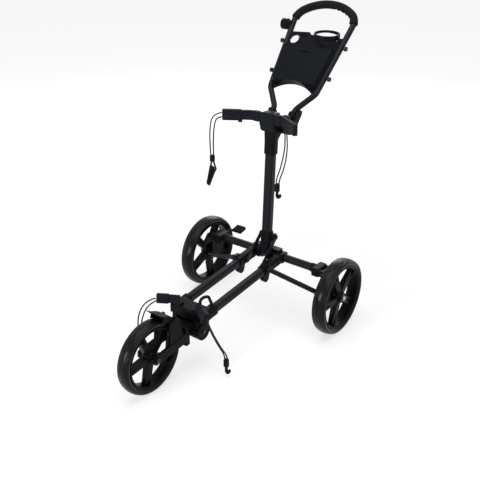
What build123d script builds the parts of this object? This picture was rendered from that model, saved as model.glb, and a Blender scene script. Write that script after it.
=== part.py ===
from build123d import *
import math
import os

# Driving dimensions in millimetres. X forward, Y to the cart's left, Z up, ground at z = 0.
REAR_WHEEL_D = 294.0
FRONT_WHEEL_D = 262.0
REAR_TYRE_W = 54.0
FRONT_TYRE_W = 48.0
TRACK = 626.0
WHEELBASE = 689.0
TYRE_DEPTH = 27.0
SPOKES = 5
SPOKE_SPREAD = 5.5
SPOKE_TURNS = {"rear_left": 71.0, "rear_right": 47.0, "front": 67.0}
AXLE_R = 6.0

TUBE_W = 28.0
TUBE_H = 30.0
TUBE_CORNER = 8.0
TUBE_WALL = 1.8
TUBE_GAUGE = 115.0
TUBE_REAR_Z = 235.0
TUBE_SLOPE = 4.34
TUBE_BACK_X = 26.0
TUBE_FRONT_X = 452.0

AXLE_TUBE_X = 5.0
AXLE_TUBE_R = 15.6
AXLE_TUBE_WALL = 2.0
HINGE_Y = 262.0
PLATE_IN = 18.0
PLATE_T = 7.0
TUCK = 90.0

MAST_PIVOT_X = 29.0
MAST_PIVOT_Z = 250.0
MAST_LEAN = 2.6
MAST_W = 36.0
MAST_D = 30.0
MAST_BACK = 8.0
MAST_FOLD = 86.0
MAST_FOOT = 34.0
MAST_TOP = 470.0

SLIDER_PIN_X = 118.0
SLIDER_L = 78.0
STRUT_R = 10.5
STRUT_FOOT_X = 38.0
STRUT_HEAD_UP = 8.0
STRUT_FOOT_Z = 154.0
STRUT_FOOT_IN = 7.0
STRUT_TWIST = 22.0
LINK_TOP = (8.0, 312.0)
LINK_FOOT = (96.0, 228.0)
LINK_IN = 8.5
LINK_T = 5.0

BOSS_X = 480.0
BOSS_Z = 142.0
BOSS_R = 32.0
BOSS_HALF = 62.0
DRUM_HALF = 37.0
NECK_R = 13.0
CROWN_X = 526.0
CROWN_T = 20.0
FORK_Y = 33.0
FORK_T = 7.0
GUARD_GAP = 13.0
ARM_TILT = -22.0

HANDLE_X = -40.0
HANDLE_Z = 752.0
HANDLE_LEAN = 41.9
HANDLE_R = 11.0
HANDLE_WALL = 1.8
HANDLE_HUB_R = 35.0
HEAD_HALF = 26.0
CHEEK_WALL = 6.0
LEG_GAP = 2.0
LEG_FOOT = 24.0
LEG_BEND = 62.0
LEG_SPREAD = 100.0
RAIL_S = 138.0
HOOP_R = 127.0
HOOP_S = 430.0
HOOP_RISE = 81.0
HOOP_CORNER = 60.0
GRIP_R = 15.5
GRIP_END = 84.0

CONSOLE_BACK = -5.0
CONSOLE_SHELF = 5.0
CONSOLE_FACE = 30.0
CONSOLE_WALL = 3.0
CONSOLE_SLOPE = 24.0
CUP_AT = (45.0, 372.0, 5.0)
CUP_R = 44.0
CUP_WALL = 5.0
CUP_H = 20.0
BALL_AT = (-88.0, 347.0)
BALL_HOLE_R = 19.5
LID_AT = (-3.0, 238.0)
LID_SIZE = (158.0, 126.0)
LID_T = 4.5

UMBRELLA_S = 407.0
UMBRELLA_R = 8.0
UMBRELLA_DEPTH = 22.0
CORD_D = 5.0
HOOK_BAR = 2.9

# Clearances: FIT within one body, SNUG round bent tubes, RUN for a turning shaft,
# GAP between faces of bodies that move.
FIT = 0.15
SNUG = 0.35
RUN = 0.05
GAP = 0.6

# Values that follow from the sizes above.
REAR_R = REAR_WHEEL_D / 2
FRONT_R = FRONT_WHEEL_D / 2
WHEEL_Y = TRACK / 2
TUBE_Y = TUBE_GAUGE / 2
LINK_Y = TUBE_Y - TUBE_W / 2 - LINK_IN
SLOPE = math.radians(TUBE_SLOPE)
TUBE_DIR = Vector(math.cos(SLOPE), 0, -math.sin(SLOPE))
LEAN = math.radians(MAST_LEAN)
MAST_DIR = Vector(-math.sin(LEAN), 0, math.cos(LEAN))
MAST_PIVOT = Vector(MAST_PIVOT_X, 0, MAST_PIVOT_Z)
HANDLE_PIVOT = Vector(HANDLE_X, 0, HANDLE_Z)
LEG_Y = HEAD_HALF + LEG_GAP + CHEEK_WALL + HANDLE_R
RAKE = math.radians(HANDLE_LEAN)
HANDLE_UP = Vector(-math.sin(RAKE), 0, math.cos(RAKE))
HANDLE_OUT = Vector(math.cos(RAKE), 0, math.sin(RAKE))
AXLE_TUBE_Z = TUBE_REAR_Z
PLATE_Y = HINGE_Y + PLATE_IN


def tube_z(x):
    return TUBE_REAR_Z - x * math.tan(SLOPE)


def tube_plane(x, y):
    return Plane(origin=(x, y, tube_z(x)), x_dir=(0, 1, 0), z_dir=TUBE_DIR)


def mast_plane(s):
    start = MAST_PIVOT + MAST_DIR * s - Vector(MAST_BACK, 0, 0)
    return Plane(origin=start, x_dir=(0, 1, 0), z_dir=MAST_DIR)


def handle_plane(n=0.0):
    # Local x is the cart's left, local y runs up the handle, local z leaves its upper face.
    return Plane(origin=HANDLE_PIVOT + HANDLE_OUT * n, x_dir=(0, 1, 0), z_dir=HANDLE_OUT)


def handle_point(y, s, n):
    return HANDLE_PIVOT + Vector(0, y, 0) + HANDLE_UP * s + HANDLE_OUT * n


def lateral(radius, y0, y1, x, z):
    # A cylinder along Y from y0 to y1.
    disc = Plane(origin=(x, min(y0, y1), z), x_dir=(1, 0, 0), z_dir=(0, 1, 0)) * Circle(radius)
    return extrude(disc, abs(y1 - y0))


def rod(p, q, radius):
    axis = Vector(*q) - Vector(*p)
    return extrude(Plane(origin=p, z_dir=axis.normalized()) * Circle(radius), axis.length)


def side_plate(points, y0, y1, corner=0.0):
    # An outline in x and z, extruded along Y.
    outline = make_face(Polyline(*[(x, z) for x, z in points], close=True))
    if corner:
        outline = fillet(outline.vertices(), corner)
    plane = Plane(origin=(0, max(y0, y1), 0), x_dir=(1, 0, 0), z_dir=(0, -1, 0))
    return extrude(plane * outline, abs(y1 - y0))


def other_side(shape):
    return mirror(shape, about=Plane.XZ)


# Fold geometry. The strut's foot F rides on the knuckle, its head Q on the slider.
SLIDER_Q = Vector(SLIDER_PIN_X, TUBE_Y + TUBE_W / 2 + STRUT_R + 2, tube_z(SLIDER_PIN_X) + STRUT_HEAD_UP)
STRUT_F = Vector(STRUT_FOOT_X, HINGE_Y + STRUT_FOOT_IN, STRUT_FOOT_Z)
STRUT_L = (STRUT_F - SLIDER_Q).length


def tucked(p):
    # Where a point of the left knuckle goes when the wheel has tucked in by TUCK.
    a = math.radians(TUCK)
    y, z = p.Y - HINGE_Y, p.Z - AXLE_TUBE_Z
    across = y * math.cos(a) + z * math.sin(a)
    up = z * math.cos(a) - y * math.sin(a)
    return Vector(p.X, HINGE_Y + across, AXLE_TUBE_Z + up)


def slider_travel():
    # The slide along the tube that brings the strut's head within its own length of the tucked foot.
    v = SLIDER_Q - tucked(STRUT_F)
    b = v.dot(TUBE_DIR)
    return -b + math.sqrt(b * b - v.dot(v) + STRUT_L ** 2)


def strut_turn():
    # Axis and angle, in degrees, that take the left strut from its open to its folded direction.
    d0 = (STRUT_F - SLIDER_Q).normalized()
    d1 = (tucked(STRUT_F) - SLIDER_Q - TUBE_DIR * slider_travel()).normalized()
    m = d0.cross(d1).normalized()
    h = (d0 + d1).normalized()
    w = math.radians(STRUT_TWIST)
    axis = m * math.cos(w) + h * math.sin(w)
    p0 = d0 - axis * d0.dot(axis)
    p1 = d1 - axis * d1.dot(axis)
    angle = math.atan2(axis.dot(p0.cross(p1)), p0.dot(p1))
    return axis, math.degrees(angle)


def link_turn():
    # World turn of the link about +Y between the open and the folded cart, in degrees.
    a = math.radians(MAST_FOLD)
    x, z = LINK_TOP[0] - MAST_PIVOT_X, LINK_TOP[1] - MAST_PIVOT_Z
    forward = x * math.cos(a) + z * math.sin(a)
    up = z * math.cos(a) - x * math.sin(a)
    top = (MAST_PIVOT_X + forward, MAST_PIVOT_Z + up)
    run = slider_travel()
    foot = (LINK_FOOT[0] + run * TUBE_DIR.X, LINK_FOOT[1] + run * TUBE_DIR.Z)
    open_angle = math.atan2(LINK_TOP[0] - LINK_FOOT[0], LINK_TOP[1] - LINK_FOOT[1])
    fold_angle = math.atan2(top[0] - foot[0], top[1] - foot[1])
    return math.degrees(fold_angle - open_angle)


def tyre(radius, width):
    # Carcass turned about Y: seat, sidewalls, shoulders and a crowned tread with two grooves.
    seat = radius - TYRE_DEPTH + FIT
    w = width / 2
    right = [(seat, w * 0.72), (seat + 5, w * 0.86), (radius - 10, w), (radius - 5, w * 0.97)]
    right += [(radius - 2.2, w * 0.80), (radius - 1.6, w * 0.62), (radius - 3.6, w * 0.59)]
    right += [(radius - 3.6, w * 0.49), (radius - 0.9, w * 0.46), (radius, w * 0.12)]
    left = [(r, -y) for r, y in reversed(right)]
    face = make_face(Polyline(*right, *left, close=True))
    return revolve(face, Axis.Y)


def rim(radius, width, turn):
    # Barrel, hub and five split spokes that thin towards the barrel; turn is the first spoke's angle.
    seat = radius - TYRE_DEPTH
    w = width / 2
    barrel = [(seat - 5, w * 0.74), (seat + 4, w * 0.93), (seat + 4, w * 0.87), (seat, w * 0.745)]
    barrel += [(r, -y) for r, y in reversed(barrel)]
    barrel += [(seat - 6, 0)]
    body = revolve(make_face(Polyline(*barrel, close=True)), Axis.Y)
    hub = [(8, -w + 2), (17, -w + 2), (24, -9), (24, 9), (19, w - 6), (19, w - 2), (8, w - 2)]
    body += revolve(make_face(Polyline(*hub, close=True)), Axis.Y)
    ribs = Sketch()
    for i in range(SPOKES):
        mid = -math.radians(turn + i * 360 / SPOKES)
        for side in (-1, 1):
            out = mid + side * math.radians(SPOKE_SPREAD)
            inner = mid + side * math.radians(9)
            a = Vector(18 * math.cos(inner), 18 * math.sin(inner))
            b = Vector((seat - 4) * math.cos(out), (seat - 4) * math.sin(out))
            u = (b - a).normalized()
            n = Vector(-u.Y, u.X)
            ribs += make_face(Polyline(a + n * 8.5, b + n * 4.5, b - n * 4.5, a - n * 8.5, close=True))
    plane = Plane(origin=(0, -15, 0), x_dir=(1, 0, 0), z_dir=(0, 1, 0))
    spokes = extrude(plane * ribs, 30)
    cone = make_face(Polyline((0, -14), (0, 14), (seat, 8), (seat, -8), close=True))
    body += spokes & revolve(cone, Axis.Y)
    bore = lateral(AXLE_R + 2, -w, w, 0, 0)
    seat_in = lateral(11 + FIT, -w, -w + 10, 0, 0)
    seat_out = lateral(11 + FIT, w - 10, w, 0, 0)
    return body - bore - seat_in - seat_out


def bearings(width):
    w = width / 2
    ring = lateral(11, w - 10 + FIT, w - 3, 0, 0) - lateral(AXLE_R + RUN, w - 20, w, 0, 0)
    return ring, other_side(ring)


def grouped(*shapes):
    return Compound(children=list(shapes))


def main_tube(y):
    shape = RectangleRounded(TUBE_W, TUBE_H, TUBE_CORNER)
    bore = RectangleRounded(TUBE_W - 2 * TUBE_WALL, TUBE_H - 2 * TUBE_WALL, TUBE_CORNER - TUBE_WALL)
    return extrude(tube_plane(TUBE_BACK_X, y) * (shape - bore), (TUBE_FRONT_X - TUBE_BACK_X) / TUBE_DIR.X)


def tube_room(y, grow):
    # The space of one main tube, grown on every side.
    shape = RectangleRounded(TUBE_W + 2 * grow, TUBE_H + 2 * grow, TUBE_CORNER + grow)
    length = (TUBE_FRONT_X - TUBE_BACK_X) / TUBE_DIR.X + 2 * grow
    return extrude(tube_plane(TUBE_BACK_X - grow, y) * shape, length)


def collar(x, y, length, wall):
    shape = RectangleRounded(TUBE_W + 2 * wall, TUBE_H + 2 * wall, TUBE_CORNER + wall)
    return extrude(tube_plane(x, y) * shape, length)


def axle_tube(side):
    bar = lateral(AXLE_TUBE_R, 36, HINGE_Y - 20, AXLE_TUBE_X, AXLE_TUBE_Z)
    bar -= lateral(AXLE_TUBE_R - AXLE_TUBE_WALL, 30, HINGE_Y, AXLE_TUBE_X, AXLE_TUBE_Z)
    return bar if side > 0 else other_side(bar)


def axle_clevis(side):
    # Moulded end of the axle tube: a sleeve and two lugs that take the knuckle's hinge pin.
    x, z = AXLE_TUBE_X, AXLE_TUBE_Z
    body = lateral(AXLE_TUBE_R + 1.9, 199, HINGE_Y - 17, x, z)
    block = Pos(x, HINGE_Y - 31, z) * Box(58, 32, 2 * AXLE_TUBE_R + 3)
    body += fillet(block.edges().filter_by(Axis.X), 6)
    body += side_lugs(x, z)
    body -= lateral(AXLE_TUBE_R + FIT, 180, HINGE_Y - 20 + FIT, x, z)
    body -= rod((x - 40, HINGE_Y, z), (x + 40, HINGE_Y, z), 4 + RUN)
    return body if side > 0 else other_side(body)


def side_lugs(x, z):
    half = Pos(x + 24, HINGE_Y - 8, z) * Box(10, 16, 26)
    half += rod((x + 19, HINGE_Y, z), (x + 29, HINGE_Y, z), 13)
    return half + mirror(half, about=Plane(origin=(x, 0, 0), z_dir=(1, 0, 0)))


def hinge_pin(side):
    x, z = AXLE_TUBE_X, AXLE_TUBE_Z
    pin = rod((x - 33, HINGE_Y, z), (x + 33, HINGE_Y, z), 4)
    pin += rod((x + 29 + FIT, HINGE_Y, z), (x + 33, HINGE_Y, z), 7)
    pin += rod((x - 33, HINGE_Y, z), (x - 29 - FIT, HINGE_Y, z), 7)
    return pin if side > 0 else other_side(pin)


def knuckle(side):
    # Barrel between the lugs, an arm outward, and the wheel plate hanging down to the stub axle.
    x, z = AXLE_TUBE_X, AXLE_TUBE_Z
    body = rod((x - 18, HINGE_Y, z), (x + 18, HINGE_Y, z), 12)
    body += Pos(x, HINGE_Y + PLATE_IN / 2 + 2, z) * Box(36, PLATE_IN + 4, 20)
    outline = [(-58, 168), (-30, 238), (34, 246), (62, 214), (64, 142), (46, 122), (-24, 120), (-62, 140)]
    body += side_plate(outline, PLATE_Y, PLATE_Y + PLATE_T, 9)
    # A window lets the strut's end swing past the plate while the wheel tucks in.
    x0, x1 = STRUT_FOOT_X - STRUT_R - 18, STRUT_FOOT_X + STRUT_R + 6
    z0, z1 = STRUT_FOOT_Z - STRUT_R - 6, STRUT_FOOT_Z + STRUT_R + 39
    body -= side_plate([(x0, z0), (x0, z1), (x1, z1), (x1, z0)], PLATE_Y - 9, PLATE_Y + 9, 8)
    body += lateral(15, PLATE_Y - 1, PLATE_Y + PLATE_T, 0, REAR_R)
    body += lateral(10, PLATE_Y, WHEEL_Y - REAR_TYRE_W / 2 + 3 - FIT, 0, REAR_R)
    body -= rod((x - 40, HINGE_Y, z), (x + 40, HINGE_Y, z), 4 + RUN)
    body -= lateral(AXLE_R + FIT, PLATE_Y + 1, WHEEL_Y, 0, REAR_R)
    return body if side > 0 else other_side(body)


def stub_axle(side):
    out = WHEEL_Y + REAR_TYRE_W / 2
    body = lateral(AXLE_R, PLATE_Y + 1 + FIT, out + 3, 0, REAR_R)
    cap = lateral(9, out - 1.5, out + 5, 0, REAR_R)
    body += fillet(cap.faces().sort_by(Axis.Y)[-1].edges(), 3)
    return body if side > 0 else other_side(body)


def rear_casting():
    # Cross beam that takes both axle tubes, the rear ends of the main tubes and the mast's ears.
    z = AXLE_TUBE_Z
    beam = Pos(AXLE_TUBE_X, 0, z) * Box(2 * AXLE_TUBE_R + 9, 152, 2 * AXLE_TUBE_R + 8)
    beam = fillet(beam.edges().filter_by(Axis.Y), 8)
    beam += Pos(3, 0, z + 20) * Box(26, 112, 18)
    for y in (-TUBE_Y, TUBE_Y):
        beam += collar(12, y, 38, 5)
    ear = side_plate([(2, 222), (2, 258), (18, 270), (40, 270), (47, 258), (47, 226)], 18, 27, 6)
    beam += ear + other_side(ear)
    beam -= Pos(31, 0, 260) * Box(42, 36, 90)
    beam -= lateral(5 + FIT, -40, 40, MAST_PIVOT_X, MAST_PIVOT_Z)
    for side in (-1, 1):
        beam -= lateral(8 + GAP, side * 27, side * 34, MAST_PIVOT_X, MAST_PIVOT_Z)
        beam -= tube_room(side * TUBE_Y, FIT)
        beam -= lateral(AXLE_TUBE_R + FIT, side * 36 - side * FIT, side * 90, AXLE_TUBE_X, z)
    return beam


def mast_pivot_bolt():
    bolt = lateral(5, -31, 31, MAST_PIVOT_X, MAST_PIVOT_Z)
    bolt += lateral(8, 27 + FIT, 31, MAST_PIVOT_X, MAST_PIVOT_Z)
    bolt += lateral(8, -31, -27 - FIT, MAST_PIVOT_X, MAST_PIVOT_Z)
    return bolt


def front_casting():
    # Collars for both tubes, a bridge between them and two cheeks with round bosses for the drum.
    bridge = Pos(473, 0, 203) * Box(66, 2 * TUBE_Y + 20, 38)
    bridge = fillet(bridge.edges().filter_by(Axis.Y), 9)
    for y in (-TUBE_Y, TUBE_Y):
        bridge += collar(420, y, 62, 5)
    outline = [(436, 196), (452, 222), (492, 222), (508, 190), (514, 150), (480, 116), (446, 150)]
    cheek = side_plate(outline, DRUM_HALF + GAP, BOSS_HALF - 6, 8)
    cheek += lateral(BOSS_R, DRUM_HALF + GAP, BOSS_HALF, BOSS_X, BOSS_Z)
    cheek -= lateral(BOSS_R - 5, BOSS_HALF - 2.5, BOSS_HALF + 1, BOSS_X, BOSS_Z)
    cheek += lateral(BOSS_R - 9, BOSS_HALF - 4, BOSS_HALF - 0.8, BOSS_X, BOSS_Z)
    bridge += cheek + other_side(cheek)
    bridge -= lateral(BOSS_R + GAP + 1, -DRUM_HALF - GAP, DRUM_HALF + GAP, BOSS_X, BOSS_Z)
    bridge -= lateral(5 + FIT, -70, 70, BOSS_X, BOSS_Z)
    for side in (-1, 1):
        bridge -= tube_room(side * TUBE_Y, FIT)
    return bridge


def boss_bolt():
    bolt = lateral(5, -BOSS_HALF, BOSS_HALF, BOSS_X, BOSS_Z)
    head = lateral(8, BOSS_HALF - 0.8 + FIT, BOSS_HALF + 2, BOSS_X, BOSS_Z)
    return bolt + head + other_side(head)


def lower_arm(side):
    # Cradle arm: a band bent in plan, thicker at its padded tip, on a foot on the casting.
    band = trace(FilletPolyline((487, 38), (500, 66), (527, 112), radius=40), 9)
    arm = extrude(Pos(0, 0, 222) * band, 30)
    pad = trace(Line((505, 75), (526, 110)), 15)
    arm += extrude(Pos(0, 0, 220) * pad, 34)
    arm = arm.rotate(Axis((526, 110, 236), (21, 35, 0)), ARM_TILT)
    arm += Pos(491, 42, 227) * Box(22, 30, 10)
    arm = arm - Pos(470, 45, 200) * Box(80, 60, 44.3)
    return arm if side > 0 else other_side(arm)


def carry_loop():
    # Bent strap from the casting's top back to the left tube's collar.
    top = TUBE_H / 2 + 5
    ends = ((470, 41, 222.9), (428, 57, tube_z(428) + top + 2.1))
    route = FilletPolyline(ends[0], (474, 41, 264), (440, 51, 262), ends[1], radius=15)
    section = Plane(origin=ends[0], z_dir=(4, 0, 264 - ends[0][2])) * Circle(5.5)
    return sweep(section, path=route)


def drum():
    # Turning drum on the boss bolt, with the neck that the fork twists on.
    body = lateral(BOSS_R, -DRUM_HALF, DRUM_HALF, BOSS_X, BOSS_Z)
    body += rod((BOSS_X, 0, BOSS_Z), (CROWN_X - GAP, 0, BOSS_Z), 24)
    body += rod((BOSS_X, 0, BOSS_Z), (CROWN_X + CROWN_T + 6, 0, BOSS_Z), NECK_R)
    body -= lateral(5 + RUN, -70, 70, BOSS_X, BOSS_Z)
    return body


def neck_cap():
    x = CROWN_X + CROWN_T
    cap = rod((x + GAP, 0, BOSS_Z), (x + 6, 0, BOSS_Z), 18)
    return cap - rod((x, 0, BOSS_Z), (x + 10, 0, BOSS_Z), NECK_R + FIT)


def fork():
    # Crown around the neck, and on each side a straight arm to the front axle with a plate up to the guard.
    y0, y1 = FORK_Y - FORK_T / 2, FORK_Y + FORK_T / 2
    x0, x1 = CROWN_X, CROWN_X + CROWN_T
    body = side_plate([(x0, 106), (x0, 180), (x1, 180), (x1, 106)], -y1, y1, 3)
    arm = [(x0 + 6, 124), (x0 + 6, 160), (WHEELBASE + 2, FRONT_R + 16), (WHEELBASE + 16, FRONT_R + 8)]
    arm += [(WHEELBASE + 16, FRONT_R - 10), (WHEELBASE + 4, FRONT_R - 17)]
    half = side_plate(arm, y0, y1 + 2, 5)
    foot, top = FRONT_R + 9, FRONT_R + 105
    plate = [(WHEELBASE - 135, foot), (WHEELBASE - 115, top), (WHEELBASE - 69, top), (WHEELBASE - 61, foot)]
    half += side_plate(plate, y0, y1, 6)
    half += lateral(15, y0 - 2, y1 + 2, WHEELBASE, FRONT_R)
    body += half + other_side(half)
    body -= rod((x0 - 5, 0, BOSS_Z), (x1 + 5, 0, BOSS_Z), NECK_R + RUN)
    body -= lateral(AXLE_R + FIT, -60, 60, WHEELBASE, FRONT_R)
    return body


def arc_band(r0, r1, a0, a1, y0, y1):
    # A band bent about the front axle between two radii and two angles in degrees.
    rows = []
    for r in (r0, r1):
        turns = [math.radians(a) for a in (a0, (a0 + a1) / 2, a1)]
        rows.append([(WHEELBASE + r * math.cos(a), FRONT_R + r * math.sin(a)) for a in turns])
    edges = [ThreePointArc(*rows[0]), Line(rows[0][2], rows[1][2])]
    edges += [ThreePointArc(*rows[1]), Line(rows[1][0], rows[0][0])]
    plane = Plane(origin=(0, y1, 0), x_dir=(1, 0, 0), z_dir=(0, -1, 0))
    return extrude(plane * make_face(edges), y1 - y0)


def guard():
    # Mudguard over the tyre's back: a curved band with side skirts that seat between the fork's plates.
    r0 = FRONT_R + GUARD_GAP
    edge = FORK_Y - FORK_T / 2 - FIT
    body = arc_band(r0, r0 + 4, 106, 142, -edge, edge)
    for y in (-edge, edge - 3):
        body += arc_band(r0 - 20, r0 + 1, 110, 142, y, y + 3)
    tip = math.radians(106)
    x, z = WHEELBASE + (r0 + 2) * math.cos(tip), FRONT_R + (r0 + 2) * math.sin(tip)
    flap = [(x - 6, z - 4), (x - 6, z + 1), (x + 9, z + 12), (x + 11, z + 9)]
    return body + side_plate(flap, -edge, edge)


def front_axle():
    end = FORK_Y + FORK_T / 2 + 2
    body = lateral(AXLE_R, -end - 4, end + 4, WHEELBASE, FRONT_R)
    nut = lateral(10, end + FIT, end + 6, WHEELBASE, FRONT_R)
    spacer = lateral(9, FRONT_TYRE_W / 2 - 3 + FIT, FORK_Y - FORK_T / 2 - 2 - FIT, WHEELBASE, FRONT_R)
    return body + nut + other_side(nut) + spacer + other_side(spacer)


def slider(side):
    # Sleeve on the main tube with an outer lug for the strut, an inner lug for the link and a fin.
    back = SLIDER_PIN_X - 64
    body = collar(back, TUBE_Y, SLIDER_L, 4.5)
    fin = [(back + 30, 225), (back + 78, 225), (back + 76, 186), (back + 62, 172), (back + 46, 178)]
    body += side_plate(fin, TUBE_Y - 8, TUBE_Y + 10, 6)
    q = SLIDER_Q
    body += Pos(q.X - 2, q.Y - STRUT_R - 2, q.Z) * Box(24, 14, 2 * STRUT_R + 10)
    body += Pos(LINK_FOOT[0], LINK_Y + LINK_T / 2 + GAP + 3, LINK_FOOT[1]) * Box(24, 6, 24)
    body -= tube_room(TUBE_Y, GAP)
    body -= Pos(q.X, q.Y, q.Z) * Sphere(STRUT_R + 2)
    return body if side > 0 else other_side(body)


def strut(side):
    # Turned in one piece about its own axis: ball at the slider, round rod, round end at the wheel.
    ball, r = STRUT_R + 2 - GAP / 2, STRUT_R - 1
    rise = math.acos(r / ball)
    fall = math.acos(r / STRUT_R)
    head = [(ball * math.cos(t), ball * math.sin(t)) for t in (-math.pi / 2, rise / 2 - math.pi / 4, rise)]
    turns = (-fall, math.pi / 4 - fall / 2, math.pi / 2)
    foot = [(STRUT_R * math.cos(t), STRUT_L + STRUT_R * math.sin(t)) for t in turns]
    head[0] = (0, -ball)
    foot[2] = (0, STRUT_L + STRUT_R)
    edges = [ThreePointArc(*head), Line(head[2], foot[0]), ThreePointArc(*foot), Line(foot[2], head[0])]
    body = revolve(Plane.XZ * make_face(edges), Axis.Z)
    body = Plane(origin=SLIDER_Q, z_dir=STRUT_F - SLIDER_Q) * body
    return body if side > 0 else other_side(body)


def link(side):
    # Flat bar between slider and mast, round eyes at both ends, with its rivet heads.
    bx, bz = LINK_TOP
    cx, cz = LINK_FOOT
    bar = lateral(10, LINK_Y - LINK_T / 2, LINK_Y + LINK_T / 2, bx, bz)
    bar += lateral(10, LINK_Y - LINK_T / 2, LINK_Y + LINK_T / 2, cx, cz)
    u = Vector(cx - bx, 0, cz - bz).normalized()
    n = Vector(-u.Z, 0, u.X) * 8
    pts = [(bx + n.X, bz + n.Z), (cx + n.X, cz + n.Z), (cx - n.X, cz - n.Z), (bx - n.X, bz - n.Z)]
    bar += side_plate(pts, LINK_Y - LINK_T / 2, LINK_Y + LINK_T / 2)
    bar += lateral(6, LINK_Y - LINK_T / 2, LINK_Y + LINK_T / 2 + 3, bx, bz)
    bar += lateral(6, LINK_Y - LINK_T / 2 - 3, LINK_Y + LINK_T / 2, cx, cz)
    return bar if side > 0 else other_side(bar)


def mast_tube():
    shape = RectangleRounded(MAST_W, MAST_D, 7) - RectangleRounded(MAST_W - 4, MAST_D - 4, 5)
    return extrude(mast_plane(MAST_FOOT) * shape, MAST_TOP - MAST_FOOT)


def mast_room(grow, start, end):
    shape = RectangleRounded(MAST_W + 2 * grow, MAST_D + 2 * grow, 7 + grow)
    return extrude(mast_plane(start) * shape, end - start)


def mast_foot():
    body = lateral(14, -17, 17, MAST_PIVOT_X, MAST_PIVOT_Z)
    body += side_plate([(12, 262), (12, 284), (40, 284), (43, 250), (20, 248)], -17, 17, 3)
    body += mast_room(3, 27, 84)
    x, z = LINK_TOP
    half = LINK_Y - LINK_T / 2 - GAP
    ear = [(x - 11, z - 12), (x - 11, z + 12), (x + 14, z + 16), (x + 14, z - 16)]
    body += side_plate(ear, -half, half, 5)
    body -= mast_room(FIT, MAST_FOOT - FIT, 100)
    body -= lateral(5 + RUN, -40, 40, MAST_PIVOT_X, MAST_PIVOT_Z)
    return body


def mast_head():
    # Sleeve on the tube's top, a web back to the handle's pivot and a seat for the yoke.
    body = mast_room(4.5, 396, 500)
    body += lateral(30, -HEAD_HALF, HEAD_HALF, HANDLE_X, HANDLE_Z)
    web = side_plate([(-40, 722), (-6, 690), (16, 690), (20, 772), (12, 782), (-40, 782)], -20, 20, 4)
    body += web
    body += Pos(3, 0, 776) * Box(30, 2 * HEAD_HALF, 52)
    body -= mast_room(FIT, 300, MAST_TOP + FIT)
    body -= lateral(5 + FIT, -40, 40, HANDLE_X, HANDLE_Z)
    return body


def yoke():
    # Upper cradle: a band in plan with two long arms, padded towards the tips.
    route = FilletPolyline((88, 160), (27, 66), (27, -66), (88, -160), radius=60)
    band = extrude(Pos(0, 0, 768) * trace(route, 9), 36)
    for s in (-1, 1):
        pad = trace(Line((50, s * 101.4), (87, s * 158.4)), 15)
        band += extrude(Pos(0, 0, 766) * pad, 40)
        band += extrude(Pos(0, 0, 767) * trace(Line((27, s * 36), (27, s * 58)), 13), 38)
        tab = trace(Line((48, s * 98.3), (56, s * 110.6)), 11)
        band += extrude(Pos(0, 0, 759) * tab, 12)
    block = fillet((Pos(27.3, 0, 772) * Box(13.4, 56, 70)).edges().filter_by(Axis.X), 12)
    return band + block


def handle_side():
    # Centre-line of one side in the handle's plane: foot, flare, rail and the hoop's start.
    y, up = HOOP_R - HOOP_CORNER - LEG_SPREAD, HOOP_S - RAIL_S
    tilt = math.atan2(y, up) + math.asin(HOOP_CORNER / math.hypot(y, up))
    start = hoop_corner(math.pi / 2 + tilt)
    return [(LEG_Y, LEG_FOOT), (LEG_Y, LEG_BEND), (LEG_SPREAD, RAIL_S), start]


def hoop_corner(angle):
    # A point of the hoop's corner arc; the angle is taken from the handle's up direction.
    y = HOOP_R - HOOP_CORNER + HOOP_CORNER * math.sin(angle)
    return (y, HOOP_S + HOOP_CORNER * math.cos(angle))


def hoop_join():
    # Where the crown arc takes over from a corner arc, as an angle above the across direction.
    y = HOOP_R - HOOP_CORNER
    rise = HOOP_RISE - HOOP_CORNER
    crown = (y * y + rise * rise) / (2 * rise) + HOOP_CORNER
    return math.atan2(crown - HOOP_RISE, y)


def rail_y(s):
    # Distance of the rail's centre-line from the middle plane at a height s.
    a, b = handle_side()[2:]
    return a[0] + (b[0] - a[0]) * (s - a[1]) / (b[1] - a[1])


def hoop_arcs(end):
    # Three arcs from the left to the right end of the hoop, which lie at an angle from the up direction.
    join = math.pi / 2 - hoop_join()
    a, m, b = (hoop_corner(t) for t in (end, (end + join) / 2, join))
    crown = ThreePointArc(b, (0, HOOP_S + HOOP_RISE), (-b[0], b[1]))
    other = ThreePointArc((-b[0], b[1]), (-m[0], m[1]), (-a[0], a[1]))
    return [ThreePointArc(a, m, b), crown, other]


def handle_route():
    right = handle_side()
    left = [(-y, s) for y, s in right]
    tilt = math.atan2(right[3][0] - right[2][0], right[3][1] - right[2][1])
    a = FilletPolyline(*right, radius=38)
    c = FilletPolyline(*reversed(left), radius=38)
    runs = [a, *hoop_arcs(math.pi / 2 + tilt), c]
    return Wire([handle_plane() * e for run in runs for e in run.edges()])


def handle_bar(radius):
    wire = handle_route()
    return sweep(Plane(origin=wire @ 0, z_dir=wire % 0) * Circle(radius), path=wire)


def handle_tube():
    wire = handle_route()
    ring = Circle(HANDLE_R) - Circle(HANDLE_R - HANDLE_WALL)
    return sweep(Plane(origin=wire @ 0, z_dir=wire % 0) * ring, path=wire)


def handle_cheek(side):
    y0, y1 = HEAD_HALF + GAP, LEG_Y + HANDLE_R + CHEEK_WALL
    body = lateral(HANDLE_HUB_R, y0, y1, HANDLE_X, HANDLE_Z)
    body = fillet(body.faces().sort_by(Axis.Y)[-1].edges(), 5)
    p = handle_point(LEG_Y, 10, 0)
    q = handle_point(LEG_Y, LEG_BEND - 14, 0)
    body += rod(tuple(p), tuple(q), HANDLE_R + CHEEK_WALL)
    foot = handle_point(LEG_Y, LEG_FOOT - FIT, 0)
    body -= rod(tuple(foot), tuple(handle_point(LEG_Y, 80, 0)), HANDLE_R + FIT)
    body -= lateral(5 + RUN, 0, 90, HANDLE_X, HANDLE_Z)
    return body if side > 0 else other_side(body)


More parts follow.
